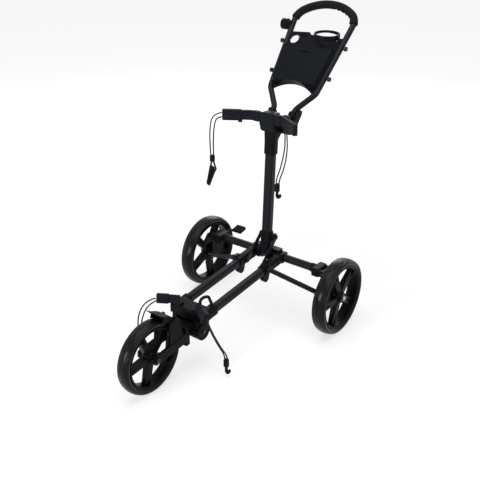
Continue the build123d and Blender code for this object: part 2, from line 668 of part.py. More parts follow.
def handle_bolt():
    end = LEG_Y + HANDLE_R + CHEEK_WALL
    bolt = lateral(5, -end - 4, end + 12, HANDLE_X, HANDLE_Z)
    bolt += lateral(9, -end - 6, -end - GAP, HANDLE_X, HANDLE_Z)
    return bolt


def clamp_lever():
    y0 = LEG_Y + HANDLE_R + CHEEK_WALL + GAP
    body = lateral(15, y0, y0 + 11, HANDLE_X, HANDLE_Z)
    p = handle_point(0, 54, 0)
    a, b = handle_point(0, 4, 13), handle_point(0, 4, -13)
    c, d = handle_point(0, 54, -11), handle_point(0, 54, 11)
    body += side_plate([(v.X, v.Z) for v in (a, b, c, d)], y0 + 2, y0 + 11)
    body += lateral(11, y0 + 2, y0 + 11, p.X, p.Z)
    body -= lateral(5 + RUN, y0 - 5, y0 + 20, HANDLE_X, HANDLE_Z)
    return body


def grip():
    # Foam sleeve along the hoop.
    wire = Wire([handle_plane() * e for run in hoop_arcs(math.radians(GRIP_END)) for e in run.edges()])
    ring = Circle(GRIP_R) - Circle(HANDLE_R + SNUG)
    return sweep(Plane(origin=wire @ 0, z_dir=wire % 0) * ring, path=wire)


def pod(inset, low, high):
    # The raised box of the tray: its sides slope in from the rails; inset draws its base in all round.
    bottom, top = 148.0 + inset, 320.0 - inset
    base = [(rail_y(bottom) - inset, bottom), (rail_y(top) - inset, top)]
    base += [(-y, s) for y, s in reversed(base)]
    face = fillet(make_face(Polyline(*base, close=True)).vertices(), 22 - inset)
    return extrude(handle_plane(low) * face, high - low, taper=CONSOLE_SLOPE)


def console():
    # Moulded tray between the rails: a thin shelf, a hollow raised box with the lid's recess and pocket.
    side = [(rail_y(s), s) for s in (124.0, 352.0)]
    top = [side[1], (side[1][0] - 6, 372), (-24, 372), (-34, 382), (-108, 376), (-side[1][0], 358)]
    foot = ThreePointArc((-side[0][0] + 4, 124), (0, 164), (side[0][0] - 4, 124))
    edges = [foot, Line((side[0][0] - 4, 124), top[0])]
    edges += [Line(top[i], top[i + 1]) for i in range(len(top) - 1)]
    edges += [Line(top[-1], (-side[0][0] + 4, 124))]
    outline = make_face(edges)
    body = extrude(handle_plane(CONSOLE_BACK) * outline, CONSOLE_SHELF - CONSOLE_BACK)
    box = extrude(handle_plane(CONSOLE_BACK) * outline, CONSOLE_FACE - CONSOLE_BACK)
    body += pod(0, CONSOLE_SHELF, CONSOLE_FACE) & box
    front = handle_plane(CONSOLE_FACE)
    well = Pos(LID_AT[0], LID_AT[1] - 4) * RectangleRounded(LID_SIZE[0] - 16, LID_SIZE[1] - 24, 12)
    wall = Pos(LID_AT[0], LID_AT[1] - 4) * RectangleRounded(LID_SIZE[0] - 10, LID_SIZE[1] - 18, 15)
    hollow = pod(CONSOLE_WALL, CONSOLE_SHELF, CONSOLE_FACE - LID_T - CONSOLE_WALL)
    keep = extrude(handle_plane(CONSOLE_SHELF) * wall, CONSOLE_FACE)
    arch = extrude(handle_plane(CONSOLE_BACK) * (Pos(0, 100) * Rectangle(300, 160)), CONSOLE_FACE)
    body -= hollow - keep - arch
    body -= extrude(front * (Pos(*LID_AT) * RectangleRounded(*LID_SIZE, 14)), -LID_T)
    body -= extrude(front * well, CONSOLE_SHELF + CONSOLE_WALL - CONSOLE_FACE)
    body -= extrude(handle_plane(CONSOLE_BACK) * well, CONSOLE_SHELF - CONSOLE_BACK)
    body -= extrude(handle_plane(20) * (Pos(*BALL_AT) * Circle(BALL_HOLE_R)), -40)
    for i in range(3):
        slot = Pos(-62 + i * 9, 364) * SlotOverall(20, 4, rotation=90)
        body -= extrude(handle_plane(20) * slot, -40)
    for i in range(4):
        slot = Pos(-rail_y(300) + 14, 284 + i * 20) * SlotOverall(14, 5)
        body -= extrude(handle_plane(20) * slot, -40)
    c = cup_centre()
    low = c.Z - CUP_H / 2 - SNUG
    body -= Pos(c.X, c.Y, low + 100) * Cylinder(CUP_R + CUP_WALL + SNUG, 200)
    body -= handle_bar(HANDLE_R + SNUG)
    return body


def console_lid():
    plane = handle_plane(CONSOLE_FACE - LID_T + GAP)
    plate = Pos(*LID_AT) * RectangleRounded(LID_SIZE[0] - 2 * GAP, LID_SIZE[1] - 2 * GAP, 14 - GAP)
    body = extrude(plane * plate, LID_T - GAP)
    inner = Pos(*LID_AT) * RectangleRounded(LID_SIZE[0] - 26, LID_SIZE[1] - 28, 10)
    body -= extrude(handle_plane(CONSOLE_FACE) * inner, -1.5)
    tab = Pos(LID_AT[0], LID_AT[1] + LID_SIZE[1] / 2 - 9) * SlotOverall(34, 10)
    return body + extrude(handle_plane(CONSOLE_FACE - 1.5) * tab, 4)


def cup_centre():
    return handle_point(*CUP_AT)


def cup_holder():
    # Open ring let into the tray's top corner; the tray runs on below it as a ledge for the can.
    c = cup_centre()
    ring = Pos(c.X, c.Y, c.Z) * Cylinder(CUP_R + CUP_WALL, CUP_H)
    ring = fillet(ring.edges().filter_by(GeomType.CIRCLE), 2)
    return ring - Pos(c.X, c.Y, c.Z) * Cylinder(CUP_R, 120)


def console_bolts():
    # Four screws with knob heads that hold the tray to the rails.
    heads = []
    for side in (-1, 1):
        for s in (205.0, 335.0):
            p = handle_point(side * (rail_y(s) + HANDLE_R + 2 * SNUG), s, 0)
            neck = rod(tuple(p), (p.X, p.Y + side * 6, p.Z), 5)
            knob = rod((p.X, p.Y + side * 4, p.Z), (p.X, p.Y + side * 13, p.Z), 8.5)
            heads.append(neck + knob)
    return grouped(*heads)


def umbrella_clamp():
    # Clamp on the right rail below the grip, with a round knob whose open end takes an umbrella's stud.
    y = rail_y(UMBRELLA_S)
    p = handle_point(0, UMBRELLA_S, 0)
    body = lateral(17, -y - 20, -y + 1.5, p.X, p.Z)
    knob = lateral(21, -y - 46, -y - 18, p.X, p.Z)
    body += fillet(knob.edges().filter_by(GeomType.CIRCLE), 4)
    body -= lateral(UMBRELLA_R, -y - 46 + UMBRELLA_DEPTH, -y - 60, p.X, p.Z)
    body -= handle_bar(HANDLE_R + SNUG)
    return body


def hook(base):
    # Moulded hook: two cheeks carry the bar that the cord folds round, and an open claw hangs below.
    x, y, z = base
    body = Pos(x, y, z - 16) * Box(12.6, 15, 14)
    for s in (-1, 1):
        cheek = Pos(x + s * 4.8, y, z - 5) * Box(3, 15, 26)
        body += fillet(cheek.edges().filter_by(Axis.X).sort_by(Axis.Z)[-2:], 5)
    body += rod((x - 6.3, y, z), (x + 6.3, y, z), HOOK_BAR)
    claw = trace(FilletPolyline((0, -18), (0, -46), (13, -46), (13, -32), radius=6.4), 7)
    plane = Plane(origin=(x - 4.5, y, z), x_dir=(0, 1, 0), z_dir=(1, 0, 0))
    return body + extrude(plane * claw, 9)


def pull_tab(base):
    # Bead with the cord's bar, a three-cornered ring below it and a ribbed tab to pull on.
    x, y, z = base
    body = Pos(x, y, z - 13.5) * Box(12.6, 15, 8)
    for s in (-1, 1):
        cheek = Pos(x + s * 4.8, y, z - 4) * Box(3, 15, 22)
        body += fillet(cheek.edges().filter_by(Axis.X).sort_by(Axis.Z)[-2:], 5)
    body += rod((x - 6.3, y, z), (x + 6.3, y, z), HOOK_BAR)
    front = Plane(origin=(x - 3, y, z), x_dir=(0, 1, 0), z_dir=(1, 0, 0))
    ring = [(-5, -14), (6, -14), (19, -46), (13, -57), (-10, -35)]
    loop = make_face(Polyline(*ring, close=True)) - offset(make_face(Polyline(*ring, close=True)), -4)
    body += extrude(front * loop, 6)
    tab = make_face(Polyline((6, -40), (12, -56), (-16, -122), (-30, -114), (-12, -36), close=True))
    body += extrude(front * fillet(tab.vertices(), 4), 5)
    for i in range(6):
        rib = Pos(-5 - 3.3 * i, -58 - 9 * i) * Rot(0, 0, 67) * Rectangle(3.5, 11)
        body += extrude(front * rib, 7)
    return body


def hook_base(route):
    # The bar sits inside the fold, which is the middle run of the route.
    a, b = route[5], route[6]
    return ((a[0] + b[0]) / 2, (a[1] + b[1]) / 2, a[2] + 6.0)


def cord(points, limit):
    # Tube of straight runs and tangent arcs through the given points.
    pts = [Vector(*p) for p in points]
    radii = []
    for i in range(1, len(pts) - 1):
        u = pts[i] - pts[i - 1]
        v = pts[i + 1] - pts[i]
        turn = math.radians(u.get_angle(v))
        radii.append(min(0.45 * min(u.length, v.length) / math.tan(turn / 2), 400.0))
    print("cord radii", [round(r, 1) for r in radii], "least", limit)
    route = FilletPolyline(*pts, radius=radii)
    line = Wire(route.edges())
    body = sweep(Plane(origin=pts[0], z_dir=pts[1] - pts[0]) * Circle(CORD_D / 2), path=line)
    ratio = body.volume / (line.length * math.pi * CORD_D ** 2 / 4)
    print("cord length", round(line.length), "volume ratio", round(ratio, 4))
    return body


# Routes of the elastic cords: down from the arm, round the hook's bar and back up.
UPPER_RIGHT = [(89, -161.5, 793), (107, -174, 790), (121, -186, 772), (122, -193, 712)]
UPPER_RIGHT += [(120, -192, 650), (119, -190, 620), (119, -178, 620), (120, -177, 650)]
UPPER_RIGHT += [(121, -176, 712), (114, -174, 762), (103, -169, 776), (89, -161.5, 777)]
UPPER_LEFT = [(44, 92, 767.4), (46, 92, 720), (47, 87, 660), (47, 76, 606), (46, 68, 572), (46, 67, 540)]
UPPER_LEFT += [(46, 55, 540), (46, 56, 572), (46, 62, 606), (44, 74, 665), (41, 79, 720), (37, 80, 767.4)]
LOWER_LEFT = [(529, 115, 241), (534, 130, 222), (518, 142, 170), (499, 154, 122)]
LOWER_LEFT += [(480, 162, 86), (480, 165, 56), (480, 153, 56), (480, 151, 86)]
LOWER_LEFT += [(497, 141, 122), (514, 129, 170), (526, 124, 205), (529, 115, 227)]
LOWER_RIGHT = [(529, -115, 236), (556, -123, 238), (586, -127, 224), (604, -128, 196)]
LOWER_RIGHT += [(611, -126, 160), (611, -124, 125), (611, -112, 125), (610, -111, 160)]
LOWER_RIGHT += [(600, -114, 190), (580, -117, 212), (556, -119, 222), (529, -115, 225)]


def brake_pedal():
    # Lever on the right knuckle with a ribbed foot pad behind the axle.
    lever = [(-52, 176), (-46, 192), (-58, 200), (-112, 214), (-122, 206), (-66, 184)]
    body = side_plate(lever, -PLATE_Y + GAP, -PLATE_Y + GAP + 9, 3)
    body += lateral(11, -PLATE_Y + GAP, -PLATE_Y + GAP + 9, -50, 184)
    pad = Box(42, 46, 9)
    pad = fillet(pad.edges().filter_by(Axis.Z), 5)
    for i in range(4):
        pad += Pos(-15 + i * 10, 0, 5) * Box(4, 40, 3)
    body += Pos(-136, -252, 208) * Rot(0, 12, 0) * pad
    body -= lateral(4 + RUN, -300, -240, -50, 184)
    return body


def brake_stub():
    # Moulded pivot for the pedal on the right knuckle.
    pin = lateral(4, -PLATE_Y - 1, -PLATE_Y + GAP + 14, -50, 184)
    return pin + lateral(7, -PLATE_Y + GAP + 9 + GAP, -PLATE_Y + GAP + 14, -50, 184)


def place(shape, x, y, z):
    return Pos(x, y, z) * shape


PARTS = {}
PARTS["main_tube_left"] = main_tube(TUBE_Y)
PARTS["main_tube_right"] = main_tube(-TUBE_Y)
PARTS["front_casting"] = front_casting()
PARTS["rear_casting"] = rear_casting()
PARTS["frame_pins"] = grouped(mast_pivot_bolt(), boss_bolt(), hinge_pin(1), hinge_pin(-1))
PARTS["carry_loop"] = carry_loop()
for tag, side in (("left", 1), ("right", -1)):
    PARTS["axle_tube_" + tag] = axle_tube(side)
    PARTS["axle_clevis_" + tag] = axle_clevis(side)
    PARTS["lower_arm_" + tag] = lower_arm(side)
    PARTS["slider_" + tag] = slider(side)
    PARTS["strut_" + tag] = strut(side)
    PARTS["link_" + tag] = link(side)
    PARTS["knuckle_" + tag] = knuckle(side)
    PARTS["stub_axle_" + tag] = stub_axle(side)
    PARTS["tyre_rear_" + tag] = place(tyre(REAR_R, REAR_TYRE_W), 0, side * WHEEL_Y, REAR_R)
    wheel = rim(REAR_R, REAR_TYRE_W, SPOKE_TURNS["rear_" + tag])
    PARTS["rim_rear_" + tag] = place(wheel, 0, side * WHEEL_Y, REAR_R)
    pair = [place(b, 0, side * WHEEL_Y, REAR_R) for b in bearings(REAR_TYRE_W)]
    PARTS["bearings_rear_" + tag] = grouped(*pair)
    PARTS["handle_cheek_" + tag] = handle_cheek(side)
PARTS["brake_pedal"] = brake_pedal()
PARTS["knuckle_right"] = PARTS["knuckle_right"] + brake_stub()
PARTS["drum"] = drum()
PARTS["neck_cap"] = neck_cap()
PARTS["fork"] = fork()
PARTS["guard"] = guard()
PARTS["front_axle"] = front_axle()
PARTS["tyre_front"] = place(tyre(FRONT_R, FRONT_TYRE_W), WHEELBASE, 0, FRONT_R)
PARTS["rim_front"] = place(rim(FRONT_R, FRONT_TYRE_W, SPOKE_TURNS["front"]), WHEELBASE, 0, FRONT_R)
PARTS["bearings_front"] = grouped(*[place(b, WHEELBASE, 0, FRONT_R) for b in bearings(FRONT_TYRE_W)])
PARTS["mast_tube"] = mast_tube()
PARTS["mast_foot"] = mast_foot()
PARTS["mast_head"] = mast_head()
PARTS["yoke"] = yoke()
PARTS["handle_tube"] = handle_tube()
PARTS["handle_bolt"] = handle_bolt()
PARTS["clamp_lever"] = clamp_lever()
PARTS["grip"] = grip()
PARTS["console"] = console()
PARTS["console_lid"] = console_lid()
PARTS["cup_holder"] = cup_holder()
PARTS["console_bolts"] = console_bolts()
PARTS["umbrella_clamp"] = umbrella_clamp()
PARTS["hooks_upper"] = grouped(hook(hook_base(UPPER_LEFT)), pull_tab(hook_base(UPPER_RIGHT)))
PARTS["hooks_lower"] = grouped(hook(hook_base(LOWER_LEFT)), hook(hook_base(LOWER_RIGHT)))
PARTS["cord_upper_left"] = cord(UPPER_LEFT, 6)
PARTS["cord_upper_right"] = cord(UPPER_RIGHT, 6)
PARTS["cord_lower_left"] = cord(LOWER_LEFT, 6)
PARTS["cord_lower_right"] = cord(LOWER_RIGHT, 6)

# The origin is put under the middle of the whole cart, on the ground.
BACK_X = min(s.bounding_box().min.X for s in PARTS.values())
FRONT_X = max(s.bounding_box().max.X for s in PARTS.values())
SHIFT_X = -(BACK_X + FRONT_X) / 2

os.makedirs("parts", exist_ok=True)
for name, shape in PARTS.items():
    export_step(Pos(SHIFT_X, 0, 0) * shape, "parts/" + name + ".step")
print("shift in x", round(SHIFT_X, 4), "travel", round(slider_travel(), 3), "nodes", len(PARTS))
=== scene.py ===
import math

import bpy
from mathutils import Matrix, Vector


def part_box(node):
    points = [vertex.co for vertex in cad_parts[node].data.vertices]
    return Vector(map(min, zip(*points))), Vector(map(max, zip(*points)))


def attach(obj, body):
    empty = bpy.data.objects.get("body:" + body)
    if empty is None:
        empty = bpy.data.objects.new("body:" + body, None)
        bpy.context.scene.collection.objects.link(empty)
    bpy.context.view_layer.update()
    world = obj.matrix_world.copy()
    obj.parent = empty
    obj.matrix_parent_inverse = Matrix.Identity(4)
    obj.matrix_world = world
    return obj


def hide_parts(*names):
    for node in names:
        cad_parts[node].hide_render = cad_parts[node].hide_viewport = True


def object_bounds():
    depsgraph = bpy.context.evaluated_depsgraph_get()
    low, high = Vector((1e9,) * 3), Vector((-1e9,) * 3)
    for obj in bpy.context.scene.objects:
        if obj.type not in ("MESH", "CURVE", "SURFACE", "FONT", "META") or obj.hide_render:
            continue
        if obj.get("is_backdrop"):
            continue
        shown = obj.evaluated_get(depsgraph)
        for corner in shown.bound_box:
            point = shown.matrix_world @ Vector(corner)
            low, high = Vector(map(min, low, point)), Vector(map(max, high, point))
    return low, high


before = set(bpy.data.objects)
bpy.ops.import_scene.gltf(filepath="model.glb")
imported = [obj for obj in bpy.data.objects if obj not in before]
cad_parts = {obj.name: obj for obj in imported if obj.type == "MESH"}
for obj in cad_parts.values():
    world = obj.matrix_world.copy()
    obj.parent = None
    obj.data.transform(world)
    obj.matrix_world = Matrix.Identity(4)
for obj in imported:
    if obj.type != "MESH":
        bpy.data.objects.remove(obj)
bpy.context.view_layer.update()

bpy.ops.object.select_all(action="DESELECT")


# Tubes, struts and links: drawn aluminium, cut to length, blasted and powder coated.
# The coat is a satin charcoal with a faint blue cast; it flows a little in the oven,
# so it has a soft orange peel and thinner edges, which are painted paler: painted highlight with
# some rubbing wear.
MM_PER_M = 1000
NOISE_LOW, NOISE_HIGH = 0.3, 0.7  # most of a noise pattern lies between these
FACTOR, FIRST, SECOND, MIXED = 0, 6, 7, 2  # the Mix node's sockets for colours, by number
FLAT_COSINE, EDGE_COSINE = 0.99, 0.80  # between the true and the rounded normal
# how far an edge is painted paler at most: painted highlight with some rubbing wear
EDGE_WEAR_AND_HIGHLIGHT = 0.8
GRAIN_STRENGTH = 0.6


def linear(hex_colour):
    """An sRGB hex colour as the linear colour that a shader takes."""
    parts = [int(hex_colour[i:i + 2], 16) / 255 for i in (1, 3, 5)]
    return [c / 12.92 if c <= 0.04045 else ((c + 0.055) / 1.055) ** 2.4 for c in parts] + [1.0]


def add(owner, kind, inputs, **settings):
    """Adds a node to a material or a world, with its settings, values and links."""
    tree = owner.node_tree
    made = tree.nodes.new("ShaderNode" + kind)
    for name, value in settings.items():
        setattr(made, name, value)
    for socket, value in inputs.items():
        if isinstance(value, bpy.types.NodeSocket):
            tree.links.new(value, made.inputs[socket])
        else:
            made.inputs[socket].default_value = value
    return made


def new_material(name):
    material = bpy.data.materials.new(name)
    material.use_nodes = True
    material.node_tree.nodes.clear()
    return material


def dress(material, *names):
    """Gives CAD nodes a finish in place of the plain one."""
    for name in names:
        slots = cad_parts[name].data.materials
        slots.clear()
        slots.append(material)


def coated_surface(name, tints, edge_wear_and_highlight_tint, roughness, specular,
                   grain_mm, patch_mm, depth_mm, edge_mm):
    """A dark coated or moulded surface: fine grain, slow patches of gloss, paler edges that are
    painted highlight with some rubbing wear.
    """
    surface = new_material(name)
    place = add(surface, "TexCoord", {}).outputs["Object"]
    grain = add(surface, "TexNoise",
                {"Vector": place, "Scale": MM_PER_M / grain_mm, "Detail": 3.0})
    patch = add(surface, "TexNoise",
                {"Vector": place, "Scale": MM_PER_M / patch_mm, "Detail": 4.0})
    rounded = add(surface, "Bevel", {"Radius": edge_mm / MM_PER_M}, samples=4)
    true = add(surface, "NewGeometry", {})
    along = add(surface, "VectorMath",
                {0: rounded.outputs["Normal"], 1: true.outputs["Normal"]},
                operation="DOT_PRODUCT")
    edge = add(surface, "MapRange",
               {"Value": along.outputs["Value"], "From Min": FLAT_COSINE,
                "From Max": EDGE_COSINE, "To Min": 0.0, "To Max": EDGE_WEAR_AND_HIGHLIGHT})
    # Paler edges: a painted highlight along every rounded edge, with some rubbing wear, coming
    # and going with the patches.
    worn_and_highlit = add(surface, "Math", {0: edge.outputs["Result"], 1: patch.outputs["Fac"]},
               operation="MULTIPLY")
    tint = add(surface, "Mix",
               {FACTOR: patch.outputs["Fac"], FIRST: linear(tints[0]), SECOND: linear(tints[1])},
               data_type="RGBA")
    paint = add(surface, "Mix",
                {FACTOR: worn_and_highlit.outputs["Value"], FIRST: tint.outputs[MIXED],
                 SECOND: linear(edge_wear_and_highlight_tint)},
                data_type="RGBA")
    gloss = add(surface, "MapRange",
                {"Value": patch.outputs["Fac"], "From Min": NOISE_LOW, "From Max": NOISE_HIGH,
                 "To Min": roughness[0], "To Max": roughness[1]})
    relief = add(surface, "Bump",
                 {"Strength": GRAIN_STRENGTH, "Distance": depth_mm / MM_PER_M,
                  "Height": grain.outputs["Fac"], "Normal": rounded.outputs["Normal"]})
    shader = add(surface, "BsdfPrincipled",
                 {"Base Color": paint.outputs[MIXED], "Roughness": gloss.outputs["Result"],
                  "Normal": relief.outputs["Normal"], "Specular IOR Level": specular})
    add(surface, "OutputMaterial", {"Surface": shader.outputs["BSDF"]})
    return surface


powder_coat = coated_surface(
    "powder_coated_aluminium", ("#0f1116", "#15171d"), "#33363e", (0.26, 0.38), specular=0.11,
    grain_mm=1.6, patch_mm=60, depth_mm=0.05, edge_mm=0.8)
dress(powder_coat, "main_tube_left", "main_tube_right", "axle_tube_left", "axle_tube_right",
      "mast_tube", "handle_tube", "strut_left", "strut_right", "link_left", "link_right")


# Joints of the frame: glass-filled nylon mouldings clamped on the tubes, a dull, deep black
# with paler corners, painted highlight with some rubbing wear. The spark-eroded tool leaves an
# even grain, finer than drawn:
# here and on the other mouldings it is about 1 mm, so that it shows.
moulded_nylon = coated_surface(
    "glass_filled_nylon", ("#0b0c0f", "#111215"), "#26282e", (0.32, 0.46), specular=0.055,
    grain_mm=0.9, patch_mm=45, depth_mm=0.06, edge_mm=1.2)
dress(moulded_nylon, "front_casting", "rear_casting", "axle_clevis_left", "axle_clevis_right",
      "slider_left", "slider_right", "knuckle_left", "knuckle_right", "mast_foot", "mast_head",
      "handle_cheek_left", "handle_cheek_right", "clamp_lever", "drum", "neck_cap", "fork",
      "guard", "umbrella_clamp", "hooks_upper", "hooks_lower")


# Cradle arms, carry loop and brake pedal: nylon with a soft rubber skin moulded over it.
# The rubber is greyer and duller than the nylon, and shows handling as faint smears.
soft_skin = coated_surface(
    "overmoulded_rubber", ("#12141a", "#1b1e26"), "#2c2f38", (0.46, 0.62), specular=0.06,
    grain_mm=0.7, patch_mm=30, depth_mm=0.08, edge_mm=1.5)
dress(soft_skin, "lower_arm_left", "lower_arm_right", "yoke", "carry_loop", "brake_pedal")


# Axles, bearings, pins and screws: turned steel, pressed or screwed into the mouldings.
# Zinc plating on the rear axles and the bearings is a pale grey with uneven gloss, and an
# oxide bath leaves the front axle, pins and screws black, with edges painted paler: painted
# highlight with some bare metal rubbed through.
BLOTCH_MM = 6
zinc_steel = new_material("zinc_plated_steel")
place = add(zinc_steel, "TexCoord", {}).outputs["Object"]
blotch = add(zinc_steel, "TexNoise",
             {"Vector": place, "Scale": MM_PER_M / BLOTCH_MM, "Detail": 4.0})
tone = add(zinc_steel, "Mix",
           {FACTOR: blotch.outputs["Fac"], FIRST: linear("#8d8f92"), SECOND: linear("#b9babd")},
           data_type="RGBA")
gloss = add(zinc_steel, "MapRange",
            {"Value": blotch.outputs["Fac"], "To Min": 0.25, "To Max": 0.45})
shader = add(zinc_steel, "BsdfPrincipled",
             {"Base Color": tone.outputs[MIXED], "Metallic": 1.0,
              "Roughness": gloss.outputs["Result"]})
add(zinc_steel, "OutputMaterial", {"Surface": shader.outputs["BSDF"]})
dress(zinc_steel, "stub_axle_left", "stub_axle_right", "bearings_rear_left",
      "bearings_rear_right", "bearings_front")
black_steel = coated_surface(
    "black_oxide_steel", ("#0f1013", "#16171b"), "#4a4c52", (0.30, 0.42), specular=0.25,
    grain_mm=0.8, patch_mm=12, depth_mm=0.02, edge_mm=0.5)
dress(black_steel, "frame_pins", "front_axle", "handle_bolt", "console_bolts")


# Wheel rims: one-piece nylon mouldings with split spokes, from a polished tool.
# They are the blackest pieces of the cart, smoother than the joints.
rim_nylon = coated_surface(
    "wheel_nylon", ("#08090b", "#0e0f12"), "#22242a", (0.28, 0.40), specular=0.06,
    grain_mm=1.2, patch_mm=35, depth_mm=0.04, edge_mm=1.5)
dress(rim_nylon, "rim_rear_left", "rim_rear_right", "rim_front")


# Tyres: puncture-proof foamed rubber rings, pressed over the rims.
# The mould gives a round crowned tread with fine wave-shaped grooves, long shallow marks
# along its middle, and a smooth satin sidewall with a raised line at the bead.
TYRE_DEPTH = 0.02685  # from the tread down to the seat on the rim
TYRE_STEPS = 300
# Outline points: metres out from the seat or down from the tread, and share of half the width.
BEAD = ((0.0, 0.72), (0.005, 0.86), (0.009, 0.93), (0.0098, 0.955), (0.0108, 0.955))
SHOULDER = ((0.0150, 0.992), (0.0125, 1.0), (0.0098, 0.99), (0.0076, 0.96))
CROWN_DEPTH = 0.0056
CROWN_SHARE = 0.915  # places across the tread are shares of half the width too
CROWN_POWER = 2.4
CROWN_STEPS = 30
TREAD_MARGIN = 0.0002  # a point up to this far below the crown belongs to the tread
TYRE_WAVES = 13
WAVE_AT, WAVE_SWING = 0.44, 0.13
RIB_AT = 0.72
GROOVE_HALF, GROOVE_DEPTH = 0.06, 0.0013
MARK_LENGTH = 0.16  # half a mark's length, as a share of one wave
MARK_HALF, MARK_SLANT, MARK_DEPTH = 0.13, 0.08, 0.0010
SKIN_MM, SKIN_DEPTH_MM = 1.4, 0.05
SMEAR_MM = 40
MERGE_GAP = 0.00002

tyre_rubber = new_material("foamed_tyre_rubber")
place = add(tyre_rubber, "TexCoord", {}).outputs["Object"]
skin = add(tyre_rubber, "TexNoise",
           {"Vector": place, "Scale": MM_PER_M / SKIN_MM, "Detail": 3.0})
smear = add(tyre_rubber, "TexNoise",
            {"Vector": place, "Scale": MM_PER_M / SMEAR_MM, "Detail": 5.0})
shade = add(tyre_rubber, "Mix",
            {FACTOR: smear.outputs["Fac"], FIRST: linear("#060709"), SECOND: linear("#0b0c10")},
            data_type="RGBA")
gloss = add(tyre_rubber, "MapRange",
            {"Value": smear.outputs["Fac"], "From Min": NOISE_LOW, "From Max": NOISE_HIGH,
             "To Min": 0.17, "To Max": 0.28})
relief = add(tyre_rubber, "Bump",
             {"Strength": 0.25, "Distance": SKIN_DEPTH_MM / MM_PER_M,
              "Height": skin.outputs["Fac"]})
shader = add(tyre_rubber, "BsdfPrincipled",
             {"Base Color": shade.outputs[MIXED], "Roughness": gloss.outputs["Result"],
              "Normal": relief.outputs["Normal"], "Specular IOR Level": 0.14})
add(tyre_rubber, "OutputMaterial", {"Surface": shader.outputs["BSDF"]})


def tyre_outline(radius, half):
    """Half a tyre's outline, from bead to mid-tread: radius, and offset from the middle."""
    side = [(radius - TYRE_DEPTH + out, half * share) for out, share in BEAD]
    side += [(radius - down, half * share) for down, share in SHOULDER]
    for step in range(CROWN_STEPS + 1):
        share = 1 - step / CROWN_STEPS
        side.append((radius - CROWN_DEPTH * share ** CROWN_POWER, half * CROWN_SHARE * share))
    return side


def tread_depth(turn, across):
    """How far the mould presses the tread in, at an angle round it and a share across it."""
    swing = WAVE_SWING * math.sin(TYRE_WAVES * turn)
    lines = (WAVE_AT + swing, -WAVE_AT + swing, RIB_AT, -RIB_AT)
    near = min(abs(across - line) for line in lines)
    groove = GROOVE_DEPTH * max(0.0, 1 - (near / GROOVE_HALF) ** 2)
    along = ((TYRE_WAVES * turn / math.tau) % 1.0 - 0.5) / MARK_LENGTH
    mark = math.hypot(along, (across - MARK_SLANT * along) / MARK_HALF)
    return max(groove, MARK_DEPTH * max(0.0, 1 - mark ** 4))


def close_spin():
    """Merges a spun mesh's doubled points, turns its faces outwards and leaves edit mode."""
    bpy.ops.mesh.select_all(action="SELECT")
    bpy.ops.mesh.remove_doubles(threshold=MERGE_GAP)
    bpy.ops.mesh.normals_make_consistent(inside=False)
    bpy.ops.object.mode_set(mode="OBJECT")


def turn_ring(name, outline, steps, axis):
    """A ring turned from a closed outline about an axis through the origin."""
    bpy.ops.mesh.primitive_circle_add(vertices=len(outline))
    ring = bpy.context.object
    ring.name = name
    for corner, point in zip(ring.data.vertices, outline):
        corner.co = point
    bpy.ops.object.mode_set(mode="EDIT")
    bpy.ops.mesh.select_all(action="SELECT")
    bpy.ops.mesh.spin(steps=steps, angle=math.tau, center=(0, 0, 0), axis=axis)
    close_spin()
    return ring


for wheel in ("rear_left", "rear_right", "front"):
    low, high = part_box("tyre_" + wheel)
    radius, half = (high.x - low.x) / 2, (high.y - low.y) / 2
    left = tyre_outline(radius, half)
    right = [(reach, -offset) for reach, offset in reversed(left[:-1])]
    outline = [(reach, offset, 0.0) for reach, offset in left + right]
    tyre = turn_ring("tyre_tread_" + wheel, outline, TYRE_STEPS, axis=(0, 1, 0))
    for corner in tyre.data.vertices:
        reach = math.hypot(corner.co.x, corner.co.z)
        if reach > radius - CROWN_DEPTH - TREAD_MARGIN:
            cut = tread_depth(math.atan2(corner.co.z, corner.co.x), corner.co.y / half)
            corner.co.x *= 1 - cut / reach
            corner.co.z *= 1 - cut / reach
    tyre.data.transform(Matrix.Translation((low + high) / 2))
    bpy.ops.object.shade_smooth()
    tyre.data.materials.append(tyre_rubber)
    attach(tyre, "wheel_" + wheel)
    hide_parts("tyre_" + wheel)
    bpy.ops.object.select_all(action="DESELECT")


# Console: an ABS tray screwed to the rails, with a lid over its pocket and a cup ring.
# The mould has a fine leather-like grain on the faces and plain ribs and rims.
console_abs = coated_surface(
    "grained_abs", ("#0b0d11", "#12151a"), "#272a32", (0.34, 0.47), specular=0.045,
    grain_mm=1.1, patch_mm=50, depth_mm=0.10, edge_mm=1.2)
dress(console_abs, "console", "console_lid")


# Cup ring: an open ABS hoop let into the tray's corner, in the same grained black.
# It is deep where it sits on the tray's ledge and thins to a narrow, slightly raised band
# behind, so that the floor shows through it.
RING_WALL = 0.005
RING_ROUND = 0.0014
RING_ROUND_POINTS = 4
RING_REAR = 0.0095  # the band's depth behind
RING_RISE = 0.006
RING_SEAT = math.radians(40)  # where it is deepest, from straight ahead towards the left
RING_STEPS = 120
RING_CREASE = math.radians(40)
ring_low, ring_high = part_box("cup_holder")
ring_middle = (ring_low + ring_high) / 2
ring_radius = (ring_high.x - ring_low.x) / 2
ring_depth = ring_high.z - ring_low.z
outer, inner = ring_radius - RING_ROUND, ring_radius - RING_WALL + RING_ROUND
top, bottom = -RING_ROUND, RING_ROUND - ring_depth
outline = []
for quarter, (reach, height) in enumerate(
        ((outer, top), (inner, top), (inner, bottom), (outer, bottom))):
    for step in range(RING_ROUND_POINTS):
        turn = math.radians(90 * (quarter + step / (RING_ROUND_POINTS - 1)))
        outline.append((reach + RING_ROUND * math.cos(turn), 0.0,
                        height + RING_ROUND * math.sin(turn)))
cup_ring = turn_ring("cup_ring", outline, RING_STEPS, axis=(0, 0, 1))
